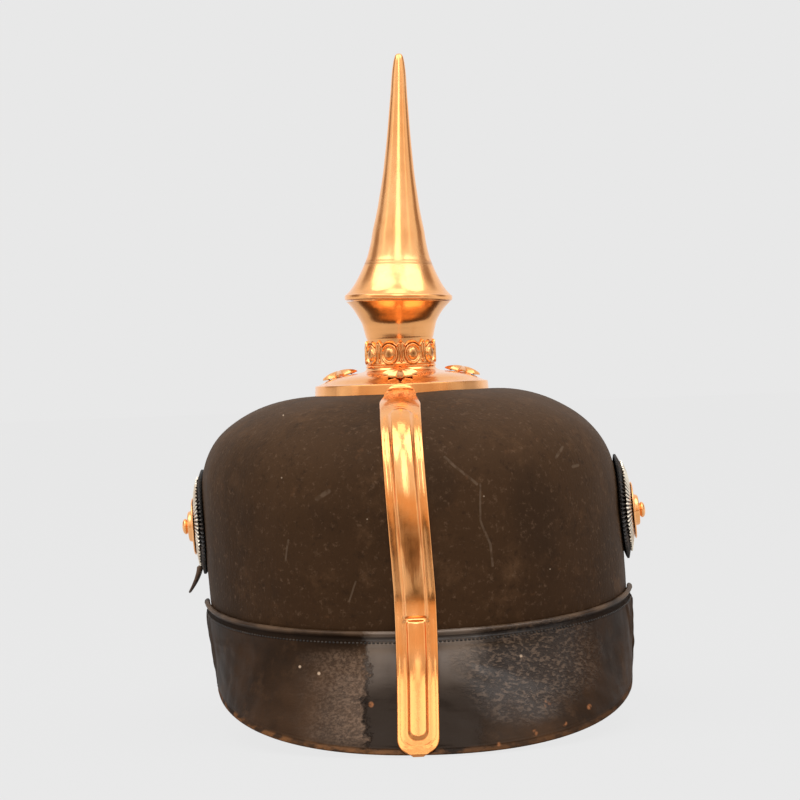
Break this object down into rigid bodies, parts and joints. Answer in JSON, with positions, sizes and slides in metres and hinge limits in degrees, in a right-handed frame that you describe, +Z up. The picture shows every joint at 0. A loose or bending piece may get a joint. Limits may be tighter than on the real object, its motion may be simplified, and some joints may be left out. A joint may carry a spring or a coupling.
{
  "type": "spiked helmet",
  "caption": "Black-brown leather parade helmet with front and rear visors, a turned brass spike on a beaded neck and round plate, a brass spine, side cockades and a scaled chin strap.",
  "frame": {"origin": "under the middle of the bounding box, on the surface that the two visors rest on", "axes": "+Z up along the spike, +Y to the back with the brass spine, +X to the wearer's left"},
  "size_m": [0.212, 0.282, 0.3014],
  "materials": {
    "crown_leather": "matt, worn dark brown leather",
    "visor_leather": "glossy dark lacquered leather, crackled in places",
    "strap_leather": "matt brown leather",
    "brass": "polished warm gilt brass",
    "silver": "tarnished silvered metal",
    "black_lacquer": "black lacquered pleated metal"
  },
  "bodies": {
    "root": {"skull": "crown_leather", "rear_visor": "visor_leather", "front_visor": "visor_leather", "front_visor_trim": "brass", "rear_spine": "brass", "spike_base": "brass", "base_stud_1": "brass", "base_stud_2": "brass", "base_stud_3": "brass", "base_stud_4": "brass", "spike_neck": "brass", "pearl_ring": "brass", "spike": "brass", "cockade_disc_left": "black_lacquer", "cockade_disc_right": "black_lacquer", "cockade_ring_left": "silver", "cockade_ring_right": "silver", "rosette_left": "brass", "rosette_right": "brass", "chin_strap_left": "strap_leather", "chin_strap_right": "strap_leather", "strap_scale_left_1": "brass", "strap_scale_left_2": "brass", "strap_scale_left_3": "brass", "strap_scale_left_4": "brass", "strap_scale_left_5": "brass", "strap_scale_left_6": "brass", "strap_scale_left_7": "brass", "strap_scale_left_8": "brass", "strap_scale_left_9": "brass", "strap_scale_left_10": "brass", "strap_scale_left_11": "brass", "strap_scale_right_1": "brass", "strap_scale_right_2": "brass", "strap_scale_right_3": "brass", "strap_scale_right_4": "brass", "strap_scale_right_5": "brass", "strap_scale_right_6": "brass", "strap_scale_right_7": "brass", "strap_scale_right_8": "brass", "strap_scale_right_9": "brass", "strap_scale_right_10": "brass", "strap_scale_right_11": "brass", "strap_buckle": "brass", "strap_tab_left": "strap_leather", "front_plate": "brass"}
  },
  "joints": []
}
